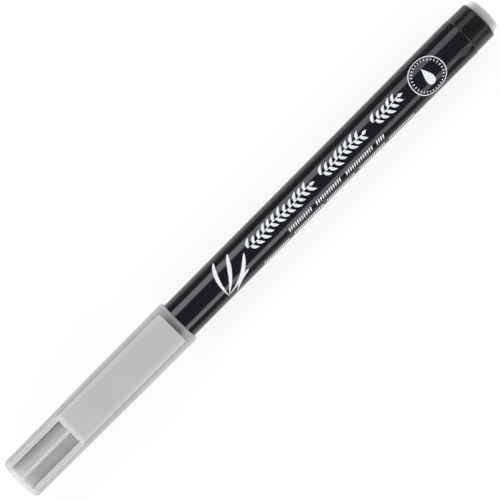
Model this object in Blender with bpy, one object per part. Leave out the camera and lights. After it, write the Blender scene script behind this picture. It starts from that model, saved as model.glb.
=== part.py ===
"""A capped brush marker: a fibre-filled barrel, a flexible brush nib and a snap cap with a clip.

Metres, +Z up. The pen lies on a table with its clip on top. +X runs along the pen, from the cap's
closed end to the end plug. The origin is on the table, under the middle of the pen.
Stations along the pen are measured from the cap's closed end, and radii and heights from its axis.
"""

import math

import bmesh
import bpy
from mathutils import Matrix

MM = 0.001

# Driving dimensions
PEN_LENGTH = 142 * MM
CAP_LENGTH = 48.6 * MM
CAP_END_RADIUS = 5.13 * MM
CAP_MOUTH_RADIUS = 5.42 * MM
BARREL_FRONT_RADIUS = 4.59 * MM
BARREL_MIDDLE_RADIUS = 4.66 * MM
BARREL_REAR_RADIUS = 4.80 * MM
NIB_RADIUS = 1.60 * MM
NIB_SHOWING = 8.95 * MM

SEGMENTS = 48  # facets round each turned piece
PRESS_GAP = 0.05 * MM  # between pieces that are pressed together
WALL = 0.78 * MM  # barrel wall
AXIS_HEIGHT = CAP_MOUTH_RADIUS  # the cap's mouth rests on the table

# Barrel
BARREL_FRONT = 43.4 * MM
BARREL_MIDDLE = 98 * MM
BARREL_BULGE = 130.5 * MM  # the plug swells the barrel from here
SEAT_START = 134.7 * MM  # the rear seat that the cap can be pushed on
BARREL_REAR = 139.8 * MM
SEAT_RADIUS = 4.69 * MM
SEAT_REAR_RADIUS = 4.63 * MM
BARREL_EDGE = 0.3 * MM
BORE_FRONT_RADIUS = BARREL_FRONT_RADIUS - WALL
BORE_REAR_RADIUS = BORE_FRONT_RADIUS + 0.14 * MM

# End plug
PLUG_RADIUS = 4.20 * MM
PLUG_END_RADIUS = 3.88 * MM
PLUG_CORNER = 0.95 * MM
PLUG_SPIGOT_FRONT = 129.2 * MM
PLUG_CAVITY_RADIUS = 3.05 * MM
PLUG_CAVITY_REAR = 140.5 * MM
PLUG_SLOT_WIDTH = 2.4 * MM
PLUG_SLOT_REAR = 134 * MM

# Ink reservoir
RESERVOIR_FRONT = 55.6 * MM
RESERVOIR_REAR = 128.8 * MM
RESERVOIR_RADIUS = 3.40 * MM
FILM_THICKNESS = 0.12 * MM

# Grip section
NOSE_FRONT = 24.0 * MM
NOSE_TIP_RADIUS = 2.30 * MM
SEAL_LAND = (26.0 * MM, 29.6 * MM)
SEAL_LAND_RADIUS = 2.95 * MM
GRIP_FRONT = 30.2 * MM
GRIP_FRONT_RADIUS = 3.45 * MM
GRIP_REAR = 40.6 * MM
GRIP_REAR_RADIUS = 4.05 * MM
SNAP_BEAD = (41.0 * MM, 42.0 * MM)
SNAP_BEAD_RADIUS = 4.30 * MM
COLLAR = (42.5 * MM, 43.35 * MM)
COLLAR_RADIUS = 4.50 * MM
SPIGOT_REAR = 55.0 * MM
SPIGOT_CAVITY_RADIUS = 2.9 * MM
SPIGOT_CAVITY_FRONT = 42.0 * MM
NIB_CLEARANCE = 0.06 * MM
MOUTH_FLARE_RADIUS = 1.95 * MM
MOUTH_FLARE_REAR = 25.4 * MM

# Brush nib: the tip bends about a ball seat just inside the nose
NIB_PIVOT = 24.6 * MM
TIP_BALL_RADIUS = 1.54 * MM
ROD_CUP_RADIUS = 1.62 * MM
ROD_RIM_RADIUS = 1.42 * MM
ROD_REAR = 63.5 * MM
ROD_CONE_LENGTH = 3.0 * MM
ROD_END_RADIUS = 0.5 * MM
POINT_RADIUS = 0.16 * MM

# Cap
CAP_CORNER = 1.1 * MM
CAP_SWELL = (12 * MM, 5.17 * MM)
CAP_WAIST = (27 * MM, 5.32 * MM)
CAP_EDGE = 0.5 * MM
CAP_BORE_MOUTH_RADIUS = 4.76 * MM
CAP_BORE_MIDDLE = (41 * MM, 4.68 * MM)
CAP_BORE_END_RADIUS = 4.40 * MM
CAP_END_WALL = 1.4 * MM
SNAP_RING = (42.05 * MM, 42.45 * MM)  # clicks over the grip section's bead
SNAP_RING_RADIUS = SNAP_BEAD_RADIUS + PRESS_GAP
SNAP_RING_SLOPE = 0.1 * MM

# Inner cap, which seals the nib
LINER_FRONT = 5.5 * MM
LINER_WALL = 0.5 * MM
LINER_RADIUS = 3.9 * MM
LINER_LIP = (27.0 * MM, 29.2 * MM)
LINER_LIP_RADIUS = SEAL_LAND_RADIUS + PRESS_GAP
LINER_MOUTH = 29.8 * MM
LINER_FLANGE = (7.0 * MM, 9.0 * MM)
LINER_FLANGE_RADIUS = 4.35 * MM

# Clip and the ribs that carry it
CLIP_TOP = 7.10 * MM
CLIP_THICKNESS = 1.15 * MM
CLIP_WIDTH = 8.0 * MM
CLIP_ROOT = 15.8 * MM
CLIP_TIP = 46.77 * MM
CLIP_BRIDGE = 0.5 * MM  # the bar that joins the ribs
CLIP_GAP = 0.12 * MM
CLIP_EDGE = 0.25 * MM
CLIP_PAD = (43.2 * MM, 45.4 * MM)  # the bump that grips a pocket
CLIP_PAD_HEIGHT = 0.30 * MM
PEDESTAL_REAR = 18.2 * MM
RIB_FRONT = 1.26 * MM
RIB_ROUND = 1.2 * MM
RIB_BASE = 1.0 * MM
MIDDLE_RIB_WIDTH = 0.85 * MM
SIDE_RIB_WIDTH = 1.15 * MM
SIDE_RIB_OFFSET = 3.70 * MM


def material(name, colour, roughness, metallic=0.0):
    made = bpy.data.materials.new(name)
    made.use_nodes = True
    shader = made.node_tree.nodes["Principled BSDF"]
    shader.inputs["Base Color"].default_value = (*colour, 1)
    shader.inputs["Roughness"].default_value = roughness
    shader.inputs["Metallic"].default_value = metallic
    return made


def arc(centre, radius, start_deg, end_deg, steps):
    """Points on an arc in the (station, radius) plane. 0 degrees points to the rear, 90 outwards."""
    angles = [math.radians(start_deg + (end_deg - start_deg) * i / steps) for i in range(steps + 1)]
    return [(centre[0] + radius * math.cos(a), centre[1] + radius * math.sin(a)) for a in angles]


def place(bm, name, look, parent, origin):
    """An object from bm, whose points are (station, y, height), with its origin at a point of them."""
    bmesh.ops.recalc_face_normals(bm, faces=bm.faces)
    bmesh.ops.translate(bm, verts=bm.verts, vec=[-value for value in origin])
    mesh = bpy.data.meshes.new(name)
    bm.to_mesh(mesh)
    bm.free()
    mesh.shade_smooth()
    mesh.set_sharp_from_angle(angle=math.radians(35))
    mesh.materials.append(look)
    made = bpy.data.objects.new(name, mesh)
    made.parent = parent
    made.location = origin
    bpy.context.scene.collection.objects.link(made)
    return made


def turned(name, outline, look, parent, origin=(0, 0, 0), closed=True):
    """A solid of revolution about the pen's axis. A closed outline goes round a wall, and an open one
    starts and ends on the axis."""
    bm = bmesh.new()
    verts = [bm.verts.new((station, 0, radius)) for station, radius in outline]
    pairs = list(zip(verts, verts[1:]))
    if closed:
        pairs.append((verts[-1], verts[0]))
    edges = [bm.edges.new(pair) for pair in pairs]
    bmesh.ops.spin(
        bm, geom=verts + edges, cent=(0, 0, 0), axis=(1, 0, 0), angle=math.tau, steps=SEGMENTS
    )
    bmesh.ops.remove_doubles(bm, verts=bm.verts, dist=1e-6)
    return place(bm, name, look, parent, origin)


def extruded(name, outline, width, y, look, parent, origin=(0, 0, 0)):
    """A block whose side view is outline, a loop of (station, height), and which is centred on y."""
    bm = bmesh.new()
    face = bm.faces.new([bm.verts.new((x, y - width / 2, z)) for x, z in outline])
    grown = bmesh.ops.extrude_face_region(bm, geom=[face])["geom"]
    moved = [item for item in grown if isinstance(item, bmesh.types.BMVert)]
    bmesh.ops.translate(bm, verts=moved, vec=(0, width, 0))
    return place(bm, name, look, parent, origin)


def combine(target, operation, other):
    """Boolean of other on target, with other left as a hidden helper."""
    change = target.modifiers.new(f"{operation.lower()} {other.name}", "BOOLEAN")
    change.operation = operation
    change.solver = "EXACT"
    change.object = other
    other.hide_render = True
    other.display_type = "WIRE"


def make_barrel(look, parent):
    outline = [
        (BARREL_FRONT, BORE_FRONT_RADIUS),
        (BARREL_FRONT, BARREL_FRONT_RADIUS),
        (BARREL_MIDDLE, BARREL_MIDDLE_RADIUS),
        (BARREL_BULGE, BARREL_REAR_RADIUS),
        (SEAT_START, BARREL_REAR_RADIUS),
        (SEAT_START, SEAT_RADIUS),
    ]
    edge_centre = (BARREL_REAR - BARREL_EDGE, SEAT_REAR_RADIUS - BARREL_EDGE)
    outline += arc(edge_centre, BARREL_EDGE, 90, 0, 3)
    outline += [(BARREL_REAR, BORE_REAR_RADIUS)]
    turned("barrel", outline, look, parent)


def make_end_plug(look, parent):
    """The rear plug: a head that shows, and a hollow spigot whose prongs hold the reservoir."""
    spigot_radius = BORE_REAR_RADIUS - PRESS_GAP
    head_front = BARREL_REAR + PRESS_GAP
    corner = arc(
        (PEN_LENGTH - PLUG_CORNER, PLUG_END_RADIUS - PLUG_CORNER), PLUG_CORNER, 90, 0, 4
    )
    outline = [
        (PLUG_SPIGOT_FRONT, PLUG_CAVITY_RADIUS),
        (PLUG_SPIGOT_FRONT, spigot_radius),
        (head_front, spigot_radius),
        (head_front, PLUG_RADIUS),
        *corner,
        (PEN_LENGTH, 0),
        (PLUG_CAVITY_REAR, 0),
        (PLUG_CAVITY_REAR, PLUG_CAVITY_RADIUS),
    ]
    # The outline meets the axis twice, so it starts at the head's flat end and goes round the wall.
    loop = outline[-3:-2] + outline[:-3][::-1] + outline[-1:] + outline[-2:-1]
    plug = turned("end_plug", loop, look, parent, closed=False)
    length = PLUG_SLOT_REAR - PLUG_SPIGOT_FRONT + 2 * MM
    slot_side = [
        (PLUG_SLOT_REAR - length, -PLUG_SLOT_WIDTH / 2),
        (PLUG_SLOT_REAR, -PLUG_SLOT_WIDTH / 2),
        (PLUG_SLOT_REAR, PLUG_SLOT_WIDTH / 2),
        (PLUG_SLOT_REAR - length, PLUG_SLOT_WIDTH / 2),
    ]
    for index in range(2):
        slot = extruded(f"plug_slot_{index}", slot_side, 12 * MM, 0, look, parent)
        slot.rotation_euler = (index * math.pi / 2, 0, 0)
        combine(plug, "DIFFERENCE", slot)


def make_reservoir(core_look, film_look, parent):
    """The fibre core, pierced by the nib's rear end, and the film wrapped round it."""
    hole = NIB_RADIUS + NIB_CLEARANCE
    cone_front = ROD_REAR - ROD_CONE_LENGTH
    outline = [
        (RESERVOIR_REAR, 0),
        (RESERVOIR_REAR, RESERVOIR_RADIUS),
        (RESERVOIR_FRONT, RESERVOIR_RADIUS),
        (RESERVOIR_FRONT, hole),
        (cone_front, hole),
        (ROD_REAR + NIB_CLEARANCE, ROD_END_RADIUS + NIB_CLEARANCE),
        (ROD_REAR + NIB_CLEARANCE, 0),
    ]
    turned("ink_reservoir", outline, core_look, parent, closed=False)
    inner = RESERVOIR_RADIUS + PRESS_GAP
    outer = inner + FILM_THICKNESS
    wrap = [
        (RESERVOIR_FRONT, inner),
        (RESERVOIR_FRONT, outer),
        (RESERVOIR_REAR, outer),
        (RESERVOIR_REAR, inner),
    ]
    turned("reservoir_film", wrap, film_look, parent)


def make_grip_section(look, parent):
    """The nib holder: nose, seal land, grip, snap bead, collar and the spigot inside the barrel."""
    bore = NIB_RADIUS + NIB_CLEARANCE
    spigot_radius = BORE_FRONT_RADIUS - PRESS_GAP
    bead_middle = sum(SNAP_BEAD) / 2
    outline = [
        (NOSE_FRONT, MOUTH_FLARE_RADIUS),
        (NOSE_FRONT, NOSE_TIP_RADIUS - 0.15 * MM),
        (NOSE_FRONT + 0.15 * MM, NOSE_TIP_RADIUS),
        (SEAL_LAND[0], SEAL_LAND_RADIUS),
        (SEAL_LAND[1], SEAL_LAND_RADIUS),
        (GRIP_FRONT, GRIP_FRONT_RADIUS),
        (GRIP_REAR, GRIP_REAR_RADIUS),
        (SNAP_BEAD[0], GRIP_REAR_RADIUS),
        (bead_middle - 0.15 * MM, SNAP_BEAD_RADIUS),
        (bead_middle + 0.15 * MM, SNAP_BEAD_RADIUS),
        (SNAP_BEAD[1], GRIP_REAR_RADIUS),
        (COLLAR[0], GRIP_REAR_RADIUS),
        (COLLAR[0] + 0.25 * MM, COLLAR_RADIUS),
        (COLLAR[1], COLLAR_RADIUS),
        (COLLAR[1], spigot_radius),
        (SPIGOT_REAR, spigot_radius),
        (SPIGOT_REAR, SPIGOT_CAVITY_RADIUS),
        (SPIGOT_CAVITY_FRONT, SPIGOT_CAVITY_RADIUS),
        (SPIGOT_CAVITY_FRONT, bore),
        (MOUTH_FLARE_REAR, bore),
    ]
    turned("grip_section", outline, look, parent)


def brush_radius(share):
    """The brush tip's radius, where share is 0 at the nose and 1 at the point."""
    return POINT_RADIUS + (NIB_RADIUS - POINT_RADIUS) * (1 - share**2.2) ** 0.9


def make_nib(look, parent):
    """The felt rod that draws the ink, and the tip that bends on a ball seat at its front end."""
    cup_deg = math.degrees(math.asin(ROD_RIM_RADIUS / ROD_CUP_RADIUS))
    cup = arc((NIB_PIVOT, 0), ROD_CUP_RADIUS, 0, cup_deg, 6)
    rim_station = cup[-1][0]
    rod = cup + [
        (rim_station, NIB_RADIUS),
        (ROD_REAR - ROD_CONE_LENGTH, NIB_RADIUS),
        (ROD_REAR, ROD_END_RADIUS),
        (ROD_REAR, 0),
    ]
    turned("nib_rod", rod, look, parent, closed=False)

    ball = arc((NIB_PIVOT, 0), TIP_BALL_RADIUS, 0, 90, 6)
    point = NOSE_FRONT - NIB_SHOWING
    steps = 12
    shares = [step / steps for step in range(steps + 1)]
    side = [(NOSE_FRONT + (point - NOSE_FRONT) * share, brush_radius(share)) for share in shares]
    tip = ball + [(NIB_PIVOT, NIB_RADIUS)] + side + [(point, 0)]
    turned("brush_tip", tip, look, parent, (NIB_PIVOT, 0, 0), closed=False)


def cap_surface():
    """The cap's outer side, from the corner of its closed end to its mouth."""
    corner_centre = (CAP_CORNER, CAP_END_RADIUS - CAP_CORNER)
    mouth_centre = (CAP_LENGTH - CAP_EDGE, CAP_MOUTH_RADIUS - CAP_EDGE)
    return [
        *arc(corner_centre, CAP_CORNER, 180, 90, 5),
        CAP_SWELL,
        CAP_WAIST,
        *arc(mouth_centre, CAP_EDGE, 90, 0, 4),
    ]


def rib_side():
    """Side view of a rib: it rises from the cap's end, rounds over and runs level to the clip."""
    rounding = arc((RIB_FRONT + RIB_ROUND, CLIP_TOP - RIB_ROUND), RIB_ROUND, 180, 90, 5)
    rear = CLIP_ROOT + CLIP_BRIDGE
    return [(RIB_FRONT, RIB_BASE), *rounding, (rear, CLIP_TOP), (rear, RIB_BASE)]


def make_cap(look, parent):
    """The cap's shell with the three ribs and the pedestal that its clip grows from."""
    surface = cap_surface()
    cap = turned("cap_shell", [(0, 0), *surface, (CAP_LENGTH, 0)], look, parent, closed=False)

    side = rib_side()
    ribs = (
        (0, MIDDLE_RIB_WIDTH),
        (SIDE_RIB_OFFSET, SIDE_RIB_WIDTH),
        (-SIDE_RIB_OFFSET, SIDE_RIB_WIDTH),
    )
    for index, (offset, width) in enumerate(ribs):
        combine(cap, "UNION", extruded(f"rib_{index}", side, width, offset, look, parent))

    bridge_side = [
        (CLIP_ROOT, RIB_BASE),
        (CLIP_ROOT, CLIP_TOP),
        (CLIP_ROOT + CLIP_BRIDGE, CLIP_TOP),
        (CLIP_ROOT + CLIP_BRIDGE, CLIP_TOP - CLIP_THICKNESS - CLIP_GAP),
        (PEDESTAL_REAR, CLIP_TOP - CLIP_THICKNESS - CLIP_GAP),
        (PEDESTAL_REAR, RIB_BASE),
    ]
    bridge_width = 2 * SIDE_RIB_OFFSET + SIDE_RIB_WIDTH
    bridge = extruded("bridge", bridge_side, bridge_width - 0.1 * MM, 0, look, parent)
    combine(cap, "UNION", bridge)

    bore_rear = CAP_LENGTH + 1 * MM
    lead_in = 0.3 * MM
    cavity = [
        (CAP_END_WALL, 0),
        (CAP_END_WALL, CAP_BORE_END_RADIUS - 0.4 * MM),
        (CAP_END_WALL + 0.4 * MM, CAP_BORE_END_RADIUS),
        CAP_BORE_MIDDLE,
        (SNAP_RING[0], CAP_BORE_MIDDLE[1]),
        (SNAP_RING[0] + SNAP_RING_SLOPE, SNAP_RING_RADIUS),
        (SNAP_RING[1] - SNAP_RING_SLOPE, SNAP_RING_RADIUS),
        (SNAP_RING[1], CAP_BORE_MIDDLE[1]),
        (CAP_LENGTH - lead_in, CAP_BORE_MOUTH_RADIUS),
        (CAP_LENGTH + 0.1 * MM, CAP_BORE_MOUTH_RADIUS + 0.2 * MM),
        (bore_rear, CAP_BORE_MOUTH_RADIUS + 0.2 * MM),
        (bore_rear, 0),
    ]
    combine(cap, "DIFFERENCE", turned("cavity", cavity, look, parent, closed=False))


def make_inner_cap(look, parent):
    """A thin cup pressed into the cap, whose lip seals on the grip section's nose."""
    inside = LINER_RADIUS - LINER_WALL
    outline = [
        (LINER_FRONT, 0),
        (LINER_FRONT, LINER_RADIUS - 0.5 * MM),
        (LINER_FRONT + 0.5 * MM, LINER_RADIUS),
        (LINER_FLANGE[0], LINER_RADIUS),
        (LINER_FLANGE[0], LINER_FLANGE_RADIUS),
        (LINER_FLANGE[1], LINER_FLANGE_RADIUS),
        (LINER_FLANGE[1], LINER_RADIUS),
        (LINER_MOUTH, LINER_RADIUS),
        (LINER_MOUTH, inside),
        (LINER_LIP[1], LINER_LIP_RADIUS),
        (LINER_LIP[0], LINER_LIP_RADIUS),
        (LINER_LIP[0] - 1.2 * MM, inside),
        (LINER_FRONT + 0.8 * MM, inside),
        (LINER_FRONT + 0.8 * MM, 0),
    ]
    turned("inner_cap", outline, look, parent, closed=False)


def make_clip(look, parent):
    """The clip's blade. Its origin is on the line that it bends about, at its root."""
    root = CLIP_ROOT + CLIP_BRIDGE + CLIP_GAP
    underside = CLIP_TOP - CLIP_THICKNESS
    pad_slope = 0.6 * MM
    side = [
        (root, underside),
        (root, CLIP_TOP),
        (CLIP_TIP, CLIP_TOP),
        (CLIP_TIP, underside),
        (CLIP_PAD[1], underside),
        (CLIP_PAD[1] - pad_slope, underside - CLIP_PAD_HEIGHT),
        (CLIP_PAD[0] + pad_slope, underside - CLIP_PAD_HEIGHT),
        (CLIP_PAD[0], underside),
    ]
    clip = extruded("clip", side, CLIP_WIDTH, 0, look, parent, (root, 0, underside))
    edges = clip.modifiers.new("rounded edges", "BEVEL")
    edges.width = CLIP_EDGE
    edges.segments = 2
    edges.limit_method = "ANGLE"
    edges.angle_limit = math.radians(60)


def main():
    for old in list(bpy.data.objects):
        bpy.data.objects.remove(old)

    axis = bpy.data.objects.new("pen_axis", None)
    axis.matrix_world = Matrix.Translation((-PEN_LENGTH / 2, 0, AXIS_HEIGHT))
    bpy.context.scene.collection.objects.link(axis)

    black_gloss = material("black gloss polypropylene", (0.012, 0.012, 0.014), 0.14)
    black_satin = material("black satin polypropylene", (0.016, 0.016, 0.017), 0.38)
    grey = material("pale grey polypropylene", (0.52, 0.52, 0.53), 0.42)
    smoke = material("translucent grey polypropylene", (0.46, 0.47, 0.47), 0.35)
    white = material("natural polyethylene", (0.80, 0.80, 0.78), 0.45)
    felt = material("bonded nib fibre, soaked grey", (0.33, 0.33, 0.35), 0.85)
    wadding = material("reservoir fibre, soaked grey", (0.40, 0.40, 0.42), 0.90)
    film = material("clear wrapping film", (0.85, 0.86, 0.87), 0.08)

    make_barrel(black_gloss, axis)
    make_end_plug(smoke, axis)
    make_reservoir(wadding, film, axis)
    make_grip_section(black_satin, axis)
    make_nib(felt, axis)
    make_cap(grey, axis)
    make_inner_cap(white, axis)
    make_clip(grey, axis)


main()
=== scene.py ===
"""Looks of the brush marker: smooth turned plastic pieces, a clip and a felt nib that bend, white
print on the barrel, the glowing top of a light table, two strips of light with a tent over the
pen's ends, and the camera above the pen.

Stations are millimetres along the pen from the cap's closed end, and radii are millimetres from its
axis. A turn is millimetres round a surface from its top line, and grows towards -Y.
"""

import math

import bmesh
import bpy
import numpy as np
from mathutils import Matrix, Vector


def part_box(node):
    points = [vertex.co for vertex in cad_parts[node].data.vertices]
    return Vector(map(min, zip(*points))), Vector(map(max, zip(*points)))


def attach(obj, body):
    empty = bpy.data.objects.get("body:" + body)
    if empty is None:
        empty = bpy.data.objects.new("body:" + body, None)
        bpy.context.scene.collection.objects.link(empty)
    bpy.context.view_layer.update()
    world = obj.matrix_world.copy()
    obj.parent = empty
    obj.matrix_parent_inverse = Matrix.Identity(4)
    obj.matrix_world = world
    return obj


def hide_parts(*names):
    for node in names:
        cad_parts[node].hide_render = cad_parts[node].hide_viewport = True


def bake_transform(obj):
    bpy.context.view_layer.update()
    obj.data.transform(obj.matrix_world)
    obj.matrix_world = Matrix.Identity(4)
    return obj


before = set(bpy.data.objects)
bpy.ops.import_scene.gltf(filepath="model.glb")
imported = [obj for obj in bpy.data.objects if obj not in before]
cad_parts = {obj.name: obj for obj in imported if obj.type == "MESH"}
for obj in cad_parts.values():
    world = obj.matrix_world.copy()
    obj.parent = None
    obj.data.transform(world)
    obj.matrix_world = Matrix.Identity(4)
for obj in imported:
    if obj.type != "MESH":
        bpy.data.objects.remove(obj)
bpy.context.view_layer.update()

MM = 0.001
SEGMENTS = 144  # round each turned piece


def size_of(node):
    """A CAD node's first and last station, and its largest radius."""
    low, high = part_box(node)
    return (low.x - START) / MM, (high.x - START) / MM, (high.y - low.y) / 2 / MM


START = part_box("cap_shell")[0].x
AXIS = (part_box("barrel")[0].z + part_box("barrel")[1].z) / 2
_, CAP_MOUTH, CAP_MOUTH_RADIUS = size_of("cap_shell")
BARREL_FRONT, BARREL_REAR, BARREL_RADIUS = size_of("barrel")
_, PEN_END, PLUG_RADIUS = size_of("end_plug")
NOSE, SPIGOT_REAR, COLLAR_RADIUS = size_of("grip_section")
POINT = size_of("brush_tip")[0]
NIB_RADIUS = size_of("nib_rod")[2]
LINER_FRONT, LINER_MOUTH, LINER_FLANGE_RADIUS = size_of("inner_cap")
_, CLIP_TIP, CLIP_HALF_WIDTH = size_of("clip")
CLIP_TOP = (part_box("clip")[1].z - AXIS) / MM
CLIP_PAD_BOTTOM = (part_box("clip")[0].z - AXIS) / MM

# Barrel
SEAT_START = 134.7
SEAT_RADIUS = 4.69
BARREL_STATIONS = (BARREL_FRONT, 98, 130.5, SEAT_START)
BARREL_RADII = (4.59, 4.66, BARREL_RADIUS, BARREL_RADIUS)
BARREL_WALL = 0.78
SEAT_END_RADIUS = 4.63
STEP_END = SEAT_START + 0.10  # where the step down to the seat ends

# Cap
CAP_END_RADIUS = 5.13
CAP_DISC_RADIUS = 4.42
CAP_DOME = 0.12
CAP_SIDE = ((12, 5.17), (27, 5.32), (40, 5.385), (44, 5.40))  # station and radius
RIB_FRONT = 1.26
RIB_ROUND = 1.2
RIB_BASE = 1.0
RIB_EDGE = 0.14
RIBS = ((0, 0.85), (3.70, 1.15), (-3.70, 1.15))  # offset from the middle, and width
CLIP_ROOT = 15.65
CLIP_BRIDGE = 0.5
BAR_REAR = CLIP_ROOT + CLIP_BRIDGE
PEDESTAL_REAR = 18.2

# Clip
CLIP_THICKNESS = 1.15
CLIP_SET_DOWN = 0.02  # the blade's face lies this much under the ribs' tops
CLIP_PAD = (43.2, 45.4)


def at(station):
    return START + station * MM


# ---------------------------------------------------------------- shapes


def rounded(corners, closed=False, steps=6):
    """An outline of (station, radius) from corners of (station, radius, fillet). Each fillet gets a
    point on the flat just outside it, so that the flats shade flat."""
    points = []
    for index, (x, r, fillet) in enumerate(corners):
        end = not closed and index in (0, len(corners) - 1)
        if end or fillet <= 0:
            points.append((x, r))
            continue
        here = np.array((x, r))
        before = np.array(corners[index - 1][:2]) - here
        after = np.array(corners[(index + 1) % len(corners)][:2]) - here
        before_length, after_length = np.linalg.norm(before), np.linalg.norm(after)
        cosine = np.dot(before, after) / (before_length * after_length)
        half_angle = math.acos(max(-1, min(1, cosine))) / 2
        reach = fillet / math.tan(half_angle)
        reach = min(reach, 0.45 * before_length, 0.45 * after_length)
        before, after = before / before_length, after / after_length
        start, stop = here + before * reach, here + after * reach
        points.append(tuple(start + before * 0.15 * reach))
        for step in range(steps + 1):
            t = step / steps
            points.append(tuple((1 - t) ** 2 * start + 2 * t * (1 - t) * here + t * t * stop))
        points.append(tuple(stop + after * 0.15 * reach))
    return points


def finished_object(name, mesh, sharp_deg=38):
    mesh.shade_smooth()
    mesh.set_sharp_from_angle(angle=math.radians(sharp_deg))
    made = bpy.data.objects.new(name, mesh)
    bpy.context.scene.collection.objects.link(made)
    return made


def turned(name, outline, closed=False, segments=SEGMENTS, wobble=None):
    """A solid of revolution about the pen's axis. An open outline starts and ends on the axis. wobble
    gives what is added to the radius at a (station, angle)."""
    angles = [math.tau * k / segments for k in range(segments)]
    verts, rings = [], []
    for x, r in outline:
        if r < 1e-6:
            rings.append([len(verts)] * segments)
            verts.append((at(x), 0, AXIS))
            continue
        rings.append(list(range(len(verts), len(verts) + segments)))
        for angle in angles:
            radius = (r + (wobble(x, angle) if wobble else 0)) * MM
            verts.append((at(x), radius * math.sin(angle), AXIS + radius * math.cos(angle)))
    pairs = list(zip(rings, rings[1:]))
    if closed:
        pairs.append((rings[-1], rings[0]))
    faces = []
    for first, second in pairs:
        for k in range(segments):
            after = (k + 1) % segments
            corners = [first[k], second[k], second[after], first[after]]
            face = list(dict.fromkeys(corners))
            if len(face) > 2:
                faces.append(face)
    mesh = bpy.data.meshes.new(name)
    mesh.from_pydata(verts, [], faces)
    outward(mesh)
    return finished_object(name, mesh)


def outward(mesh):
    """Turns every face of a closed mesh outwards."""
    bm = bmesh.new()
    bm.from_mesh(mesh)
    bmesh.ops.recalc_face_normals(bm, faces=bm.faces)
    bm.to_mesh(mesh)
    bm.free()


def block(name, side, low_y, high_y, bevels):
    """A block whose side view is the loop side of (station, height). bevels are (width, segments,
    test), applied in turn to the edges whose faces meet at over 50 degrees and whose two ends pass
    the test."""
    bm = bmesh.new()
    verts = [bm.verts.new((at(x), low_y * MM, AXIS + z * MM)) for x, z in side]
    face = bm.faces.new(verts)
    grown = bmesh.ops.extrude_face_region(bm, geom=[face])["geom"]
    moved = [item for item in grown if isinstance(item, bmesh.types.BMVert)]
    bmesh.ops.translate(bm, verts=moved, vec=(0, (high_y - low_y) * MM, 0))
    bmesh.ops.recalc_face_normals(bm, faces=bm.faces)
    for width, segments, test in bevels:
        chosen = [
            edge
            for edge in bm.edges
            if edge.calc_face_angle(0) > math.radians(50) and test(*(v.co for v in edge.verts))
        ]
        bmesh.ops.bevel(
            bm, geom=chosen, offset=width * MM, segments=segments, profile=0.5, affect="EDGES",
            clamp_overlap=True,
        )
    mesh = bpy.data.meshes.new(name)
    bm.to_mesh(mesh)
    bm.free()
    return finished_object(name, mesh)


def combine(target, operation, other):
    """Boolean of other on target. other is used up."""
    change = target.modifiers.new("combine", "BOOLEAN")
    change.operation = operation
    change.solver = "EXACT"
    change.object = other
    graph = bpy.context.evaluated_depsgraph_get()
    mesh = bpy.data.meshes.new_from_object(target.evaluated_get(graph))
    target.modifiers.remove(change)
    target.data = mesh
    bpy.data.objects.remove(other)


# ---------------------------------------------------------------- pieces


def barrel_radius(station):
    return float(np.interp(station, BARREL_STATIONS, BARREL_RADII))


def press_marks(station, angle):
    """The thin wall's faint unevenness over the prongs of the end plug, in millimetres."""
    depth = 0.010
    along = sum(
        strength * math.exp(-(((station - middle) / length) ** 2))
        for middle, length, strength in ((132.2, 2.0, 1), (137.2, 0.9, 0.8))
    )
    around = math.cos(4 * angle + 0.6) + 0.6 * math.cos(7 * angle + 1.9 + 0.8 * station)
    return depth * along * around


def make_barrel():
    """The barrel, with fine rows where the wall is uneven. Its second material is on the seat."""
    bore_front = BARREL_RADII[0] - BARREL_WALL
    bore_rear = bore_front + 0.14
    body_end = SEAT_START - 0.35
    rim_start = BARREL_REAR - 0.8
    even, fine = 1, 0.3  # between rows
    uneven_start = 128
    outline = rounded([
        (BARREL_FRONT, bore_front, 0),
        (BARREL_FRONT, BARREL_RADII[0], 0.12),
        (BARREL_FRONT + 0.4, barrel_radius(BARREL_FRONT), 0),
    ])
    for station in (*np.arange(45, uneven_start, even), *np.arange(uneven_start, body_end, fine)):
        outline.append((station, barrel_radius(station)))
    outline += rounded([
        (body_end, BARREL_RADIUS, 0),
        (SEAT_START - 0.08, BARREL_RADIUS, 0.02),
        (STEP_END, SEAT_RADIUS, 0.02),
        (SEAT_START + 0.3, SEAT_RADIUS - 0.004, 0),
    ])
    for station in np.arange(SEAT_START + 0.6, rim_start, fine):
        radius = np.interp(station, (SEAT_START, BARREL_REAR), (SEAT_RADIUS, SEAT_END_RADIUS))
        outline.append((station, float(radius)))
    outline += rounded([
        (rim_start, SEAT_END_RADIUS + 0.008, 0),
        (BARREL_REAR, SEAT_END_RADIUS, 0.32),
        (BARREL_REAR, bore_rear, 0),
    ])
    barrel = turned("barrel_shell", outline, closed=True, wobble=press_marks)
    for face in barrel.data.polygons:
        face.material_index = int(face.center.x > at(STEP_END))
    return barrel


def make_plug():
    """The end plug's head, with the spigot that goes into the barrel and its moulding gate."""
    gate, spigot, hollow = 0.55, 3.88, 3.05
    face, gate_floor = PEN_END - 0.02, PEN_END - 0.16
    shoulder = BARREL_REAR + 0.03
    spigot_front = BARREL_REAR - 9
    outline = rounded([
        (gate_floor, 0, 0),
        (gate_floor, gate, 0.05),
        (face, gate + 0.12, 0.05),
        (face, 1.4, 0),
        (PEN_END - 0.10, 2.4, 0.5),
        (PEN_END - 0.36, 3.78, 0.8),
        (BARREL_REAR + 0.5, PLUG_RADIUS - 0.05, 0.5),
        (shoulder, PLUG_RADIUS, 0.05),
        (shoulder, spigot, 0.05),
        (spigot_front, spigot, 0.3),
        (spigot_front, hollow, 0.1),
        (PEN_END - 1.5, hollow, 0.4),
        (PEN_END - 1.5, 0, 0),
    ])
    return turned("rear_plug", outline)


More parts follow.
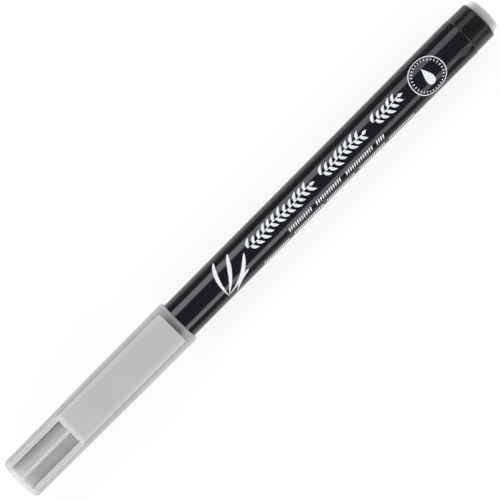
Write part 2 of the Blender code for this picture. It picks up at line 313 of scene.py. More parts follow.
def cap_outside():
    """The cap's outer outline: a slightly domed end with its gate mark, a fillet, and the side."""
    tilt = math.atan(2 * CAP_DOME / CAP_DISC_RADIUS)
    fillet = (CAP_END_RADIUS - CAP_DISC_RADIUS) / (1 - math.sin(tilt))
    fillet_station = CAP_DOME + fillet * math.cos(tilt)
    fillet_radius = CAP_END_RADIUS - fillet
    outline = rounded([(0.16, 0, 0), (0.16, 0.42, 0.05), (0.02, 0.62, 0.05), (0.025, 0.9, 0)])
    for radius in np.linspace(1.2, CAP_DISC_RADIUS, 8):
        outline.append((CAP_DOME * (radius / CAP_DISC_RADIUS) ** 2, float(radius)))
    start_deg = 180 - math.degrees(tilt)
    for angle in np.radians(np.linspace(start_deg, 90, 10)[1:]):
        outline.append(
            (fillet_station + fillet * math.cos(angle), fillet_radius + fillet * math.sin(angle))
        )
    outline += CAP_SIDE[:-1]
    outline += rounded([
        (*CAP_SIDE[-1], 0),
        (CAP_MOUTH, CAP_MOUTH_RADIUS, 0.8),
        (CAP_MOUTH, 0, 0),
    ], steps=8)
    return outline


def cap_inside():
    """The cap's cavity, with the ring that snaps over the grip section's bead."""
    bore, ring, flare = 4.68, 4.35, 4.98
    floor, beyond = 1.4, CAP_MOUTH + 1
    return rounded([
        (floor, 0, 0),
        (floor, 4.40, 0.4),
        (41, bore, 0),
        (42.05, bore, 0.03),
        (42.15, ring, 0.03),
        (42.35, ring, 0.03),
        (42.45, 4.69, 0.03),
        (CAP_MOUTH - 0.35, 4.76, 0.2),
        (CAP_MOUTH + 0.05, flare, 0),
        (beyond, flare, 0),
        (beyond, 0, 0),
    ])


def rib_side():
    """A rib's side view, rounded at its front."""
    rounding = [
        (RIB_FRONT + RIB_ROUND * (1 - math.cos(a)), CLIP_TOP - RIB_ROUND * (1 - math.sin(a)))
        for a in np.radians(np.linspace(0, 90, 9))
    ]
    rear = CLIP_ROOT + 0.6 * CLIP_BRIDGE
    return [(RIB_FRONT, RIB_BASE), *rounding, (rear, CLIP_TOP), (rear, RIB_BASE)]


def make_cap():
    """The cap's shell, its three ribs, and the bar and pedestal that the clip grows from."""
    cap = turned("cap_body", cap_outside())
    surface_z = AXIS + 3.5 * MM
    edge_steps = 3

    def above(*ends):
        return min(end.z for end in ends) > surface_z

    def rib_edge(a, b):
        return above(a, b) and min(a.x, b.x) < at(CLIP_ROOT)

    def bar_edge(a, b):
        joins_blade = all(abs(end.x - at(BAR_REAR)) < 0.1 * MM for end in (a, b))
        return above(a, b) and not joins_blade

    for index, (offset, width) in enumerate(RIBS):
        low_y, high_y = offset - width / 2, offset + width / 2
        bevels = [(RIB_EDGE, edge_steps, rib_edge)]
        combine(cap, "UNION", block(f"rib_{index}", rib_side(), low_y, high_y, bevels))
    ribs_half_width = RIBS[1][0] + RIBS[1][1] / 2
    pedestal_top = CLIP_TOP - CLIP_THICKNESS - 0.06
    for name, first, last, top, half in (
        ("bar", CLIP_ROOT, BAR_REAR, CLIP_TOP, ribs_half_width - 0.002),
        ("pedestal", BAR_REAR - 0.3, PEDESTAL_REAR, pedestal_top, CLIP_HALF_WIDTH - 0.04),
    ):
        side = [(first, RIB_BASE), (first, top), (last, top), (last, RIB_BASE)]
        bevels = [(RIB_EDGE, edge_steps, bar_edge)]
        combine(cap, "UNION", block(name, side, -half, half, bevels))
    combine(cap, "DIFFERENCE", turned("cavity", cap_inside()))
    cap.data.shade_smooth()
    cap.data.set_sharp_from_angle(angle=math.radians(32))
    return cap


def make_clip():
    """The clip's blade, rooted in the cap's bar. It has rows along its length so that it can bend."""
    top = CLIP_TOP - CLIP_SET_DOWN
    underside = CLIP_TOP - CLIP_THICKNESS
    root = CLIP_ROOT + 0.25
    root_underside = underside - 0.2  # in the pedestal
    rows = [root, *np.arange(17, 30, 0.75), *np.arange(30, CLIP_TIP - 1, 3)]
    slope = 0.6
    side = [(x, top) for x in rows] + [(CLIP_TIP, top), (CLIP_TIP, underside)]
    side += [
        (CLIP_PAD[1], underside),
        (CLIP_PAD[1] - slope, CLIP_PAD_BOTTOM),
        (CLIP_PAD[0] + slope, CLIP_PAD_BOTTOM),
        (CLIP_PAD[0], underside),
    ]
    side += [(x, underside) for x in reversed(rows) if 19 < x < CLIP_PAD[0] - 1]
    side += [(18.6, underside - 0.12), (PEDESTAL_REAR - 0.2, root_underside)]
    side += [(root, root_underside)]
    bevels = [
        (0.40, 5, lambda a, b: min(a.x, b.x) > at(CLIP_TIP - 0.1)),
        (0.26, 4, lambda a, b: max(a.x, b.x) > at(root + 0.1)),
    ]
    return block("clip_blade", side, -CLIP_HALF_WIDTH, CLIP_HALF_WIDTH, bevels)


def make_holder():
    """The nib holder: nose, seal land, grip, snap bead, collar and the spigot in the barrel."""
    bore = NIB_RADIUS + 0.06
    seal_land, grip, bead, spigot, hollow = 2.95, 4.05, 4.30, 3.76, 2.9
    collar_rear = BARREL_FRONT - 0.02
    hollow_front = 42.0
    outline = rounded([
        (NOSE, 1.95, 0.06),
        (NOSE, 2.27, 0.12),
        (26.0, seal_land, 0.35),
        (29.6, seal_land, 0.20),
        (30.2, 3.45, 0.30),
        (40.6, grip, 0.6),
        (41.0, grip, 0.08),
        (41.35, bead, 0.15),
        (41.65, bead, 0.15),
        (42.0, grip, 0.08),
        (42.5, grip, 0.08),
        (42.75, COLLAR_RADIUS, 0.12),
        (collar_rear, COLLAR_RADIUS, 0.06),
        (collar_rear, spigot, 0.05),
        (SPIGOT_REAR, spigot, 0.3),
        (SPIGOT_REAR, hollow, 0.1),
        (hollow_front, hollow, 0.2),
        (hollow_front, bore, 0.1),
        (25.4, bore, 0.2),
    ], closed=True)
    return turned("nib_holder", outline, closed=True)


def make_nib():
    """The felt nib in one piece: the brush tip and the rod behind it, inside the holder."""
    tip_radius = 0.16
    cap_steps, side_steps = 6, 60
    outline = [
        (POINT + tip_radius * (1 - math.cos(a)), tip_radius * math.sin(a))
        for a in np.linspace(0, math.pi / 2, cap_steps)
    ]
    outline[0] = (POINT, 0)
    for step in range(1, side_steps + 1):
        share = 1 - step / side_steps
        radius = tip_radius + (NIB_RADIUS - tip_radius) * (1 - share**2.2) ** 0.9
        outline.append((NOSE + (POINT + tip_radius - NOSE) * share, radius))
    hidden_end = NOSE + 12
    outline += [(NOSE + x, NIB_RADIUS) for x in (0.6, 1.2, 2.0, 4.0)]
    outline += [(hidden_end, NIB_RADIUS), (hidden_end, 0)]
    return turned("felt_nib", outline, segments=96)


def make_seal_cup():
    """The inner cap: a cup with a flange that fits the cap and a lip that seals the nose."""
    outside, inside, lip = 3.9, 3.4, 3.0
    floor = LINER_FRONT + 0.8
    flange_front, flange_rear = 7.0, 9.0
    outline = rounded([
        (LINER_FRONT, 0, 0),
        (LINER_FRONT, outside, 0.5),
        (flange_front, outside, 0.05),
        (flange_front, LINER_FLANGE_RADIUS, 0.1),
        (flange_rear, LINER_FLANGE_RADIUS, 0.1),
        (flange_rear, outside, 0.05),
        (LINER_MOUTH, outside, 0.12),
        (LINER_MOUTH, inside, 0.1),
        (29.2, lip, 0.1),
        (27.0, lip, 0.3),
        (25.8, inside, 0.3),
        (floor, inside, 0.4),
        (floor, 0, 0),
    ])
    return turned("seal_cup", outline)


# ---------------------------------------------------------------- print on the barrel


class Print:
    """Collects white marks on the barrel. Each is a thin closed shell that follows the surface."""

    LIFT = 0.014
    DEPTH = 0.02

    def __init__(self, name):
        self.name, self.verts, self.faces = name, [], []

    def on_barrel(self, station, turn, height):
        radius = barrel_radius(station)
        angle = -turn / radius
        radius = (radius + height) * MM
        return at(station), radius * math.sin(angle), AXIS + radius * math.cos(angle)

    def stroke(self, spine, half_widths, columns=4, closed=False):
        """A brush stroke along spine, points of (station, turn), with its half width at each."""
        spine = np.array(spine, float)
        if closed:
            along = np.roll(spine, -1, 0) - np.roll(spine, 1, 0)
        else:
            along = np.gradient(spine, axis=0)
        along /= np.linalg.norm(along, axis=1)[:, None]
        across = np.stack([-along[:, 1], along[:, 0]], 1)
        base, row = len(self.verts), columns + 1
        for height in (self.LIFT, -self.DEPTH):
            for point, side, half in zip(spine, across, half_widths):
                for column in range(row):
                    station, turn = point + side * half * (2 * column / columns - 1)
                    self.verts.append(self.on_barrel(station, turn, height))
        count = len(spine)
        under = count * row
        steps = range(count) if closed else range(count - 1)
        for i in steps:
            here, after = base + i * row, base + (i + 1) % count * row
            for c in range(columns):
                face = (here + c, after + c, after + c + 1, here + c + 1)
                self.faces.append(face)
                self.faces.append(tuple(v + under for v in reversed(face)))
            for c, flip in ((0, True), (columns, False)):
                wall = (here + c, after + c, after + c + under, here + c + under)
                self.faces.append(wall if flip else wall[::-1])
        if not closed:
            for i, flip in ((0, False), (count - 1, True)):
                first = base + i * row
                for c in range(columns):
                    wall = (first + c, first + c + 1, first + c + 1 + under, first + c + under)
                    self.faces.append(wall if flip else wall[::-1])

    def dab(self, start, end, half_width, bend=0.0, fullness=0.35, steps=12):
        """A brush dab from start to end: round where it lands, drawn out to a point."""
        start, end = np.array(start, float), np.array(end, float)
        side = np.array((start[1] - end[1], end[0] - start[0]))
        t = (1 - np.cos(np.linspace(0.04, 1, steps + 1) * math.pi)) / 2
        spine = start + t[:, None] * (end - start) + np.sin(t * math.pi)[:, None] * bend * side
        shape = np.sin(math.pi * t**0.75) ** 0.8 * (1 - fullness * t)
        shape /= shape.max()
        self.stroke(spine, np.maximum(shape * half_width, 0.02))

    def finish(self, ink):
        mesh = bpy.data.meshes.new(self.name)
        mesh.from_pydata(self.verts, [], self.faces)
        outward(mesh)
        made = finished_object(self.name, mesh)
        made.data.materials.append(ink)
        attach(made, "barrel")
        return made


def dab_row(marks, groups, baseline, height, lean=0.3):
    """Slanted dabs of one size in groups, which run from a first to a last station."""
    for first, last in groups:
        count = max(2, round((last - first) / (0.5 * height)))
        step = (last - first) / count
        for k in range(count):
            foot = first + (k + 0.3) * step
            marks.dab((foot + lean * height, baseline - height), (foot, baseline), 0.14 * height)


def twig(marks, first, last, middle):
    """A waving stem with leaves on both sides, which lean towards its end."""
    pitch, wave, leaf = 1.55, 0.22, (1.35, 1.5)
    pairs = round((last - first - leaf[0]) / pitch)
    pitch = (last - first - leaf[0]) / pairs

    def stem(station):
        return middle + wave * math.sin((station - first) / (last - first) * math.tau * pairs / 6)

    stations = np.linspace(first, last - 0.8 * leaf[0], 8 * pairs)
    thin = 0.10 * np.minimum(1, np.linspace(0.3, 3, len(stations)))
    marks.stroke([(x, stem(x)) for x in stations], thin, columns=2)
    for k in range(pairs):
        for side, shift in ((-1, 0.25), (1, 0.75)):
            root = first + (k + shift) * pitch - 0.3
            size = 1.12 if (k + (side > 0)) % 3 == 0 else 0.92
            tip = (root + leaf[0] * size, stem(root) + side * leaf[1] * size)
            marks.dab((root, stem(root)), tip, 0.36, bend=0.10 * side, fullness=0.2, steps=16)
    marks.dab((last - leaf[0], stem(last - leaf[0])), (last, middle), 0.34, fullness=0.1, steps=16)


def ellipse(centre, radius_along, radius_round, count):
    angles = np.linspace(0, math.tau, count, endpoint=False)
    return [
        (centre[0] + radius_along * math.cos(a), centre[1] + radius_round * math.sin(a))
        for a in angles
    ]


def make_print(ink):
    """Plain brush marks: a spray of leaves, three rows of dabs, and a drop in a ring."""
    leaves = Print("printed_leaves")
    root = (59.9, 4.3)
    for tip, half, bend in (
        ((62.4, -4.0), 0.44, 0.08),
        ((65.9, -3.0), 0.46, -0.04),
        ((68.6, -0.4), 0.44, -0.10),
    ):
        leaves.dab(tip, root, half, bend, steps=26)
    leaves.dab((67.0, 2.9), (61.8, 5.6), 0.36, 0.12, steps=20)
    leaves.finish(ink)

    twigs = Print("printed_twigs")
    for first, last in ((69.9, 90.0), (91.9, 105.6), (107.6, 116.6)):
        twig(twigs, first, last, -0.55)
    twigs.finish(ink)
    small = Print("printed_small_dabs")
    dab_row(small, ((78.6, 85.6), (86.8, 94.4), (95.8, 104.0), (105.0, 107.5)), 4.1, 1.3)
    small.finish(ink)
    fine = Print("printed_fine_dabs")
    dab_row(fine, ((70.1, 77.6), (79.2, 88.0), (89.0, 97.4), (98.8, 106.6), (107.8, 115.5)), 6.1, 1.0)
    fine.finish(ink)

    stamp = Print("printed_drop")
    centre, radius = (123.0, 0.76), 4.3
    ring = ellipse(centre, radius, radius, 120)
    stamp.stroke(ring, [0.11] * len(ring), columns=2, closed=True)
    for outer, inner in zip(ellipse(centre, 3.85, 3.85, 30), ellipse(centre, 3.3, 3.3, 30)):
        stamp.dab(outer, inner, 0.13, steps=6)
    t = np.linspace(0.02, math.pi - 0.02, 26)
    spine = [(centre[0], centre[1] - 2.2 * math.cos(a)) for a in t]
    stamp.stroke(spine, 1.5 * np.sin(t) * np.sin(t / 2) ** 1.6 + 0.01, columns=8)
    stamp.finish(ink)


# ---------------------------------------------------------------- materials

CAP_PLASTIC = (0.440, 0.447, 0.465)  # where it is thick
MILKY_RADIUS = (1.0, 1.0, 1.0)


class Paint:
    """A node material round one Principled shader."""

    def __init__(self, name, **inputs):
        self.material = bpy.data.materials.new(name)
        self.material.use_nodes = True
        self.tree = self.material.node_tree
        self.shader = self.tree.nodes["Principled BSDF"]
        self.coordinates = self.node("ShaderNodeTexCoord").outputs["Object"]
        for key, value in inputs.items():
            self.shader.inputs[key.replace("_", " ")].default_value = value

    def node(self, kind, **settings):
        made = self.tree.nodes.new(kind)
        for key, value in settings.items():
            setattr(made, key, value)
        return made

    def feed(self, source, node, key):
        self.tree.links.new(source, node.inputs[key])

    def noise(self, size_mm, detail=3.0, roughness=0.55, shift=0.0):
        """Noise whose grain is size_mm, or (along, across, up) sizes, in millimetres."""
        sizes = size_mm if isinstance(size_mm, tuple) else (size_mm,) * 3
        mapping = self.node("ShaderNodeMapping")
        mapping.inputs["Scale"].default_value = [1 / (size * MM) for size in sizes]
        mapping.inputs["Location"].default_value = (shift, 2 * shift, 3 * shift)
        self.feed(self.coordinates, mapping, "Vector")
        made = self.node("ShaderNodeTexNoise")
        made.inputs["Scale"].default_value = 1.0
        made.inputs["Detail"].default_value = detail
        made.inputs["Roughness"].default_value = roughness
        self.feed(mapping.outputs["Vector"], made, "Vector")
        return made.outputs["Fac"]

    def spread(self, source, low, high, from_low=0.3, from_high=0.7):
        """source, brought from its own range to low..high."""
        made = self.node("ShaderNodeMapRange")
        for key, value in (
            ("From Min", from_low), ("From Max", from_high), ("To Min", low), ("To Max", high),
        ):
            made.inputs[key].default_value = value
        self.feed(source, made, "Value")
        return made.outputs["Result"]

    def math(self, operation, first, second):
        made = self.node("ShaderNodeMath", operation=operation)
        for index, value in enumerate((first, second)):
            if isinstance(value, (int, float)):
                made.inputs[index].default_value = value
            else:
                self.tree.links.new(value, made.inputs[index])
        return made.outputs["Value"]

    def mix(self, factor, first, second):
        """A colour between first and second, each an RGB tuple or a socket."""
        made = self.node("ShaderNodeMix", data_type="RGBA")
        self.tree.links.new(factor, made.inputs["Factor"])
        for index, value in ((6, first), (7, second)):
            if isinstance(value, tuple):
                made.inputs[index].default_value = (*value, 1)
            else:
                self.tree.links.new(value, made.inputs[index])
        return made.outputs[2]

    def absolute(self, value):
        return self.math("ABSOLUTE", value, 0)

    def largest(self, first, *others):
        for other in others:
            first = self.math("MAXIMUM", first, other)
        return first

    def both(self, first, *others):
        """The product of some masks."""
        for other in others:
            first = self.math("MULTIPLY", first, other)
        return first

    def patch(self, centre, reach):
        """A mask of 1 inside a ragged oval on the upper side, given in (station, across), and 0
        outside."""
        station, across, height = self.place()
        total = self.spread(self.noise((1.2, 0.5, 0.5), shift=4.4), -0.5, 0.5)
        for value, middle, radius in ((station, centre[0], reach[0]), (across, centre[1], reach[1])):
            offset = self.math("MULTIPLY", self.math("SUBTRACT", value, middle), 1 / radius)
            total = self.math("ADD", self.math("MULTIPLY", offset, offset), total)
        return self.both(self.spread(total, 1, 0, 0.6, 1.4), self.spread(height, 0, 1, 0, 1))

    def colour(self, source):
        self.feed(source, self.shader, "Base Color")

    def roughness(self, source):
        self.feed(source, self.shader, "Roughness")

    def bump(self, layers):
        """Bumps from (height, depth in millimetres) layers, one on top of the other."""
        normal = None
        for height, depth in layers:
            made = self.node("ShaderNodeBump")
            made.inputs["Strength"].default_value = 1.0
            made.inputs["Distance"].default_value = depth * MM
            self.feed(height, made, "Height")
            if normal:
                self.feed(normal, made, "Normal")
            normal = made.outputs["Normal"]
        self.feed(normal, self.shader, "Normal")

    def place(self):
        """Each point's station, its place across the pen and its height over the axis, in
        millimetres."""
        split = self.node("ShaderNodeSeparateXYZ")
        self.feed(self.coordinates, split, "Vector")
        station = self.math("MULTIPLY", self.math("SUBTRACT", split.outputs["X"], START), 1 / MM)
        across = self.math("MULTIPLY", split.outputs["Y"], 1 / MM)
        height = self.math("MULTIPLY", self.math("SUBTRACT", split.outputs["Z"], AXIS), 1 / MM)
        return station, across, height


def gloss_black():
    """The barrel's lacquered plastic: near black, slightly blue, with faint drawing lines and a spot
    that a pushed-on cap has rubbed dull."""
    paint = Paint("barrel black gloss", IOR=1.5, Specular_Tint=(0.95, 0.96, 1.0, 1))
    cloud = paint.noise(6.0, shift=3.1)
    lines = paint.noise((60, 0.25, 0.25), detail=2, shift=7.7)
    paint.colour(paint.mix(cloud, (0.0072, 0.0076, 0.0102), (0.0100, 0.0104, 0.0136)))
    wear = paint.noise((9.0, 0.5, 0.5), detail=5, shift=1.3)
    rubbed = paint.patch((132.4, -2.75), (1.5, 0.9))
    paint.roughness(paint.largest(paint.spread(wear, 0.07, 0.16), paint.both(rubbed, 0.5)))
    paint.bump([(lines, 0.0008), (paint.noise(0.7, detail=1), 0.0006)])
    return paint.material


def seat_black():
    """The bare plastic that a pushed-on cap rubs: dull, with spots that are still glossy. Its sides
    are a paler brownish tone, which is painted light in place of the brighter reflections there."""
    paint = Paint("seat black", IOR=1.38)
    rub = paint.noise((3.0, 0.15, 0.15), detail=4, shift=2.2)
    # Painted light: the paler brownish tone for the seat's sides.
    painted_side_tone = paint.mix(rub, (0.040, 0.0375, 0.0365), (0.060, 0.0565, 0.0550))
    fresh = paint.mix(rub, (0.0056, 0.0053, 0.0056), (0.0078, 0.0074, 0.0076))
    _, across, _ = paint.place()
    sides = paint.spread(paint.absolute(across), 0, 1, 2.9, 3.5)
    paint.colour(paint.mix(sides, fresh, painted_side_tone))
    glossy = paint.largest(
        paint.patch((135.9, 1.95), (1.0, 1.0)), paint.patch((138.0, 1.95), (0.6, 0.8))
    )
    paint.roughness(paint.mix(glossy, (0.24, 0.24, 0.24), (0.10, 0.10, 0.10)))
    paint.bump([(rub, 0.0012), (paint.noise(1.4, detail=2, shift=9.0), 0.002)])
    return paint.material


def satin_black():
    """The nib holder's plastic, with a fine even grain."""
    paint = Paint("holder satin black", IOR=1.49)
    grain = paint.noise(0.12, detail=2)
    paint.colour(paint.mix(paint.noise(3.0), (0.012, 0.012, 0.013), (0.019, 0.019, 0.020)))
    paint.roughness(paint.spread(grain, 0.30, 0.44))
    paint.bump([(grain, 0.0025), (paint.noise((30, 0.3, 0.3), shift=4), 0.001)])
    return paint.material


def pale_grey(name, thick, thin):
    """The cap's milky plastic. Returns its paint, and a function that takes how much painted glow a
    place gets, from 0 to 1, and gives the colour from thick to thin, with slow streaks. The thin
    colour is painted light, for light that comes through thin plastic."""
    paint = Paint(
        name, IOR=1.49, Subsurface_Weight=0.3, Subsurface_Radius=MILKY_RADIUS,
        Subsurface_Scale=0.8 * MM,
    )
    flow = paint.noise((14.0, 3.0, 3.0), detail=3, shift=5.5)
    paint.roughness(paint.spread(paint.noise(1.2, detail=4), 0.30, 0.43))
    paint.bump([(paint.noise(0.10, detail=2, shift=8), 0.0010), (flow, 0.003)])

    def colour(painted_glow):
        uneven = paint.math("ADD", painted_glow, paint.spread(flow, -0.06, 0.06))
        return paint.mix(paint.spread(uneven, 0, 1, 0, 1), thick, thin)

    return paint, colour


def cap_grey():
    """Paler on the ribs, the bar, the channels' floors and round the closed end: painted light for
    light through the thin plastic, which also lifts the shade in the channels. Darker beside the
    clip's blade, under the clip towards its tip and most of all just past it: painted shade from the
    clip."""
    # The second colour is the paler one of the painted light.
    paint, colour = pale_grey("cap milky grey", CAP_PLASTIC, (0.88, 0.88, 0.85))
    station, across, height = paint.place()
    across = paint.absolute(across)
    spread, both = paint.spread, paint.both
    # Painted light: masks for the paler ribs, channels' floors, bar and closed end, for light through
    # thin plastic and to lift the channels' shade.
    front = spread(station, 1, 0, BAR_REAR - 0.1, BAR_REAR + 0.2)
    between_sides = spread(across, 1, 0, 3.9, 4.2)
    along = paint.math("ADD", spread(station, 0.57, 0.46, 1, 5), spread(station, 0, 0.16, 12.5, 15.5))
    painted_rim_light = both(spread(station, 0.35, 1, 0.1, 0.5), spread(station, 1, 0, 1.2, 2.1))
    channels = both(
        between_sides, spread(station, 0, 1, 0.15, 0.6),
        spread(height, 0, 1.2, 2, 3), spread(height, 1, 0.62, 5.8, 6.8),
    )
    ribs = spread(height, 0, 0.41, 4.2, 6.6)
    bar = both(
        spread(station, 0, 0.7, CLIP_ROOT - 0.1, CLIP_ROOT), spread(height, 0, 1, 5.2, 6.4),
        between_sides,
    )
    painted_glow = paint.largest(
        both(front, along, channels), both(front, ribs), both(painted_rim_light, spread(height, 0.2, 1, 2, 4.8)),
        bar,
    )
    # Painted shade under the clip towards its tip and just past it, which also stands in for the
    # black barrel seen through the cap.
    barrel = both(
        spread(station, 0, 1, 35, 46.7), spread(station, 0.85, 0.46, 46.8, 48.1),
        spread(across, 1, 0, 1.6, 4.9), spread(height, 0, 1, 1, 3),
    )
    # Painted shade on the cap beside the clip's blade, where the blade shades it.
    painted_blade_shade = both(
        spread(across, 0.16, 0, 4.2, 4.7), spread(height, 0, 1, 1.5, 2.6),
        spread(station, 0, 1, 16.2, 17.2), spread(station, 1, 0, 38, 48),
    )
    # The colour of the painted shade.
    shade = (0.07, 0.07, 0.068)
    paint.colour(paint.mix(paint.largest(barrel, painted_blade_shade), colour(painted_glow), shade))
    return paint.material


def clip_grey():
    """Paler along the clip's edges and at its root: painted light for light through the thin plastic.
    Its top is painted paler than its sides and underside, which have the cap's plastic colour."""
    # The first colour, paler than the cap's plastic, is painted light on the clip's top.
    paint, colour = pale_grey("clip milky grey", (0.520, 0.525, 0.541), (0.76, 0.76, 0.74))
    station, across, height = paint.place()
    across = paint.absolute(across)
    upper = paint.spread(height, 0, 1, CLIP_TOP - 0.6, CLIP_TOP - 0.1)
    edges = paint.spread(across, 0, 0.38, CLIP_HALF_WIDTH - 1.3, CLIP_HALF_WIDTH - 0.1)
    # Painted light along the top's edges and at the root.
    painted_glow = paint.largest(
        paint.both(upper, edges),
        paint.spread(station, 0.85, 0, CLIP_ROOT + 0.7, CLIP_ROOT + 1.7),
        paint.spread(station, 0.18, 0, CLIP_ROOT + 1, CLIP_ROOT + 9),
    )
    # The sides and underside keep the cap's colour; only the top has the painted lighter one.
    below = paint.spread(height, 1, 0, CLIP_TOP - 0.6, CLIP_TOP - 0.15)
    paint.colour(paint.mix(below, colour(painted_glow), CAP_PLASTIC))
    return paint.material


def plug_grey():
    """Clear-looking grey plastic, with painted shade where it goes into the black barrel, and painted
    light that makes it paler at its sides and round its end."""
    paint = Paint(
        "plug milky grey", IOR=1.49, Subsurface_Weight=0.5, Subsurface_Radius=MILKY_RADIUS,
        Subsurface_Scale=1.0 * MM,
    )
    station, across, _ = paint.place()
    flow = paint.noise(2.0, shift=6)
    # Painted light: paler at the sides.
    sides = paint.both(
        paint.spread(paint.absolute(across), 0, 0.7, 2.3, 3.4),
        paint.spread(station, 1, 0.25, PEN_END - 0.6, PEN_END - 0.15),
    )
    head = paint.mix(flow, (0.36, 0.364, 0.36), (0.43, 0.432, 0.42))
    # Painted shade where the plug goes into the barrel.
    root = paint.mix(flow, (0.19, 0.19, 0.195), (0.24, 0.24, 0.242))
    # Painted light round the plug's end.
    painted_rim_light = paint.mix(flow, (0.46, 0.46, 0.45), (0.54, 0.54, 0.52))
    body = paint.mix(paint.spread(station, 0, 1, BARREL_REAR, BARREL_REAR + 0.7), root, head)
    rest = paint.mix(paint.spread(station, 0, 1, PEN_END - 1.1, PEN_END - 0.3), body, painted_rim_light)
    paint.colour(paint.mix(sides, rest, (0.72, 0.72, 0.70)))
    paint.roughness(paint.spread(paint.noise(0.6, detail=3), 0.28, 0.4))
    paint.bump([(paint.noise(0.09, detail=2), 0.0015)])
    return paint.material


def milky_white():
    """The inner cap's plastic, with no colour added."""
    paint = Paint(
        "seal cup natural white", IOR=1.5, Subsurface_Weight=0.4, Subsurface_Scale=1.0 * MM
    )
    flow = paint.noise((8.0, 2.0, 2.0), detail=3)
    paint.colour(paint.mix(flow, (0.74, 0.74, 0.72), (0.83, 0.83, 0.81)))
    paint.roughness(paint.spread(paint.noise(0.5), 0.38, 0.5))
    paint.bump([(paint.noise(0.12, detail=2), 0.002)])
    return paint.material


def felt():
    """The nib's bonded fibres, which run lengthwise, wet with grey ink and darker at the point."""
    paint = Paint("nib felt", IOR=1.4, Sheen_Weight=0.25, Sheen_Roughness=0.5)
    fibres = paint.noise((1.6, 0.07, 0.07), detail=6, roughness=0.7)
    blotch = paint.noise((3.0, 0.9, 0.9), detail=3, shift=3)
    dry = paint.mix(paint.spread(fibres, 0, 1), (0.26, 0.26, 0.275), (0.42, 0.42, 0.43))
    soaked = paint.mix(paint.spread(fibres, 0, 1), (0.15, 0.15, 0.165), (0.27, 0.27, 0.285))
    ink = paint.spread(paint.place()[0], 1, 0, POINT + 0.5, POINT + 5.5)
    ink = paint.math("ADD", ink, paint.spread(blotch, -0.2, 0.2))
    paint.colour(paint.mix(paint.spread(ink, 0, 1, 0, 1), dry, soaked))
    paint.roughness(paint.spread(blotch, 0.55, 0.85))
    paint.bump([(fibres, 0.035)])
    return paint.material


def wadding():
    """The reservoir's fibre bundle."""
    paint = Paint("reservoir fibre", IOR=1.4)
    fibres = paint.noise((9.0, 0.12, 0.12), detail=6, roughness=0.7)
    paint.colour(paint.mix(paint.spread(fibres, 0, 1), (0.28, 0.28, 0.30), (0.50, 0.50, 0.52)))
    paint.roughness(paint.spread(fibres, 0.7, 0.95))
    paint.bump([(fibres, 0.05)])
    return paint.material


def clear_film():
    """The film round the fibre bundle, with fine lengthwise creases."""
    paint = Paint("wrapping film", IOR=1.52, Transmission_Weight=0.9)
    creases = paint.noise((12.0, 0.4, 0.4), detail=4)
    paint.colour(paint.mix(creases, (0.88, 0.89, 0.90), (0.97, 0.97, 0.97)))
    paint.roughness(paint.spread(creases, 0.04, 0.14))
    paint.bump([(creases, 0.01)])
    return paint.material


def white_ink():
    """Screen-printed ink, with a few pinholes and a faint unevenness."""
    paint = Paint("white print", IOR=1.45)
    pinholes = paint.noise(0.16, detail=3, shift=2)
    cover = paint.spread(pinholes, 0, 1, 0.27, 0.36)
    paint.colour(paint.mix(cover, (0.42, 0.44, 0.47), (0.84, 0.87, 0.91)))
    paint.roughness(paint.spread(pinholes, 0.38, 0.52))
    paint.bump([(pinholes, 0.002)])
    return paint.material


# ---------------------------------------------------------------- stage


def make_floor():
    """The glowing white top of a light table. A short way from the pen it is darker in reflections
    alone, which gives the barrel's sides their dark bands."""
    mesh = bpy.data.meshes.new("floor")
    half = 4.0
    mesh.from_pydata(
        [(-half, -half, 0), (half, -half, 0), (half, half, 0), (-half, half, 0)], [], [(0, 1, 2, 3)]
    )
    floor = bpy.data.objects.new("floor", mesh)
    bpy.context.scene.collection.objects.link(floor)
    paint = Paint(
        "floor", Roughness=0.9, Specular_IOR_Level=0.0, Emission_Color=(1, 1, 1, 1)
    )
    glow, dark_glow = 0.79, 0.11
    _, across, _ = paint.place()
    beyond = paint.spread(paint.absolute(across), 0, 1, 26, 42)
    reflected = paint.node("ShaderNodeLightPath").outputs["Is Glossy Ray"]
    dark = paint.both(beyond, reflected)
    top = paint.mix(paint.noise(60), (0.245, 0.246, 0.248), (0.255, 0.255, 0.255))
    paint.colour(paint.mix(dark, top, (0.06, 0.06, 0.06)))
    paint.feed(paint.spread(dark, glow, dark_glow, 0, 1), paint.shader, "Emission Strength")
    mesh.materials.append(paint.material)


# A direction's place along the pen is its sine from straight up, towards +X.
STRIPS = (  # first and last angle from straight up, towards +Y, in degrees, and brightness
    (32.5, 64.5, 3.6),
    (-73.5, -49.5, 3.3),
)
STRIP_END = 0.22  # place along the pen
STRIP_FADE = (-0.05, 0.14, 1.08, 0.45)  # from and to a place along the pen, and brightness at each
TENT = 0.7
TENT_START = 0.25  # place along the pen
TENT_STRIPS = 0.27  # the share of the strips' brightness that their glow on the tent has
TENT_SLOPE = -0.3  # how much brighter the tent gets towards +Y
TENT_SHADE = (0.955, 0.985, 1, 0.12)  # towards the pen's axis: from and to, and brightness at each
SKY = 0.12
BACKDROP = 1.0  # what the camera sees behind everything


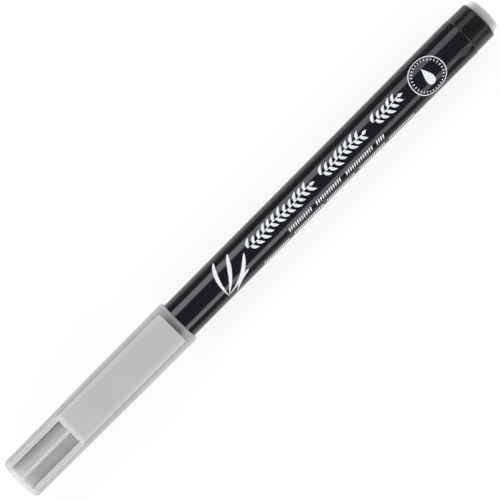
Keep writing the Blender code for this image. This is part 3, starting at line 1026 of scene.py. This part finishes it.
def make_light():
    """A dim sky with two short strips of light, one each side of the pen and parallel to it, and a
    brighter tent over each end of the pen, which is shaded close to the pen's axis. The camera sees
    a plain white backdrop instead."""
    world = bpy.data.worlds.new("studio")
    bpy.context.scene.world = world
    world.use_nodes = True
    tree = world.node_tree
    background = tree.nodes["Background"]
    background.inputs["Color"].default_value = (1, 1, 1, 1)

    def node(kind, *inputs, **settings):
        made = tree.nodes.new(kind)
        for key, value in settings.items():
            setattr(made, key, value)
        for index, value in enumerate(inputs):
            if isinstance(value, (int, float)):
                made.inputs[index].default_value = value
            elif value is not None:
                tree.links.new(value, made.inputs[index])
        return made

    def calculate(operation, *values):
        return node("ShaderNodeMath", *values, operation=operation).outputs["Value"]

    def product(first, *others):
        for other in others:
            first = calculate("MULTIPLY", first, other)
        return first

    def mapped(value, *limits):
        """value, brought from its range to another, as from, to, and the result at each."""
        return node("ShaderNodeMapRange", value, *limits).outputs["Result"]

    def window(value, low, high, blur):
        """1 between low and high, and 0 outside, with soft edges."""
        rise = mapped(value, low - blur, low + blur, 0, 1)
        fall = mapped(value, high - blur, high + blur, 1, 0)
        return calculate("MULTIPLY", rise, fall)

    direction = tree.nodes.new("ShaderNodeTexCoord").outputs["Generated"]
    split = node("ShaderNodeSeparateXYZ", direction)
    x, y, z = (split.outputs[key] for key in "XYZ")
    angle = calculate("MULTIPLY", calculate("ARCTAN2", y, z), math.degrees(1))
    strips = 0.0
    for low, high, brightness in STRIPS:
        strip = calculate("MULTIPLY", window(angle, low, high, 1.0), brightness)
        strips = calculate("ADD", strips, strip)
    ends = calculate("SUBTRACT", 1.0, window(x, -TENT_START, TENT_START, 0.03))
    glow = calculate("ADD", calculate("MULTIPLY", strips, TENT_STRIPS), TENT)
    slope = calculate("ADD", calculate("MULTIPLY", y, TENT_SLOPE), 1.0)
    tent = product(ends, glow, slope, mapped(calculate("ABSOLUTE", x, 0), *TENT_SHADE))
    short_strips = product(strips, window(x, -STRIP_END, STRIP_END, 0.02), mapped(x, *STRIP_FADE))
    light = calculate("ADD", calculate("ADD", short_strips, tent), SKY)
    seen = tree.nodes.new("ShaderNodeLightPath").outputs["Is Camera Ray"]
    backdrop = calculate("MULTIPLY", seen, BACKDROP)
    unseen = calculate("MULTIPLY", light, calculate("SUBTRACT", 1.0, seen))
    tree.links.new(calculate("ADD", backdrop, unseen), background.inputs["Strength"])


def make_camera():
    """Straight above the pen, which runs from the lower left to the upper right of the picture."""
    distance, tilt_deg = 0.516, 45.13
    camera = bpy.data.objects.new("camera", bpy.data.cameras.new("camera"))
    camera.data.lens = 172.8
    camera.data.sensor_width = 36
    camera.data.clip_start, camera.data.clip_end = 0.01, 20
    middle = (at(0) + at(PEN_END)) / 2
    camera.location = (middle - 1.01 * MM, -0.06 * MM, AXIS + distance)
    camera.rotation_euler = (0, 0, -math.radians(tilt_deg))
    bpy.context.scene.collection.objects.link(camera)
    bpy.context.scene.camera = camera
    bpy.context.scene.view_settings.view_transform = "Standard"


# ---------------------------------------------------------------- assembly


def dress(piece, slot, nodes, *materials):
    """Gives a piece its materials, and hides the CAD nodes that it stands for. slot is not used."""
    for material in materials:
        piece.data.materials.append(material)
    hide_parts(*nodes)
    return piece


def main():
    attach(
        dress(make_barrel(), "barrel_black", ["barrel"], gloss_black(), seat_black()), "barrel"
    )
    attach(dress(make_plug(), "plug_grey", ["end_plug"], plug_grey()), "barrel")
    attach(dress(make_holder(), "section_black", ["grip_section"], satin_black()), "barrel")
    make_print(white_ink())

    cap_material = cap_grey()
    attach(dress(make_cap(), "cap_grey", ["cap_shell"], cap_material), "cap")
    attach(dress(make_seal_cup(), "liner_white", ["inner_cap"], milky_white()), "cap")

    clip = dress(make_clip(), "cap_grey", ["clip"], clip_grey())
    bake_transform(clip)

    nib = dress(make_nib(), "nib_felt", ["nib_rod", "brush_tip"], felt())
    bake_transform(nib)

    for node, material in (("ink_reservoir", wadding()), ("reservoir_film", clear_film())):
        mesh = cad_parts[node].data
        mesh.materials.clear()
        mesh.materials.append(material)

    make_floor()
    make_light()
    make_camera()


main()
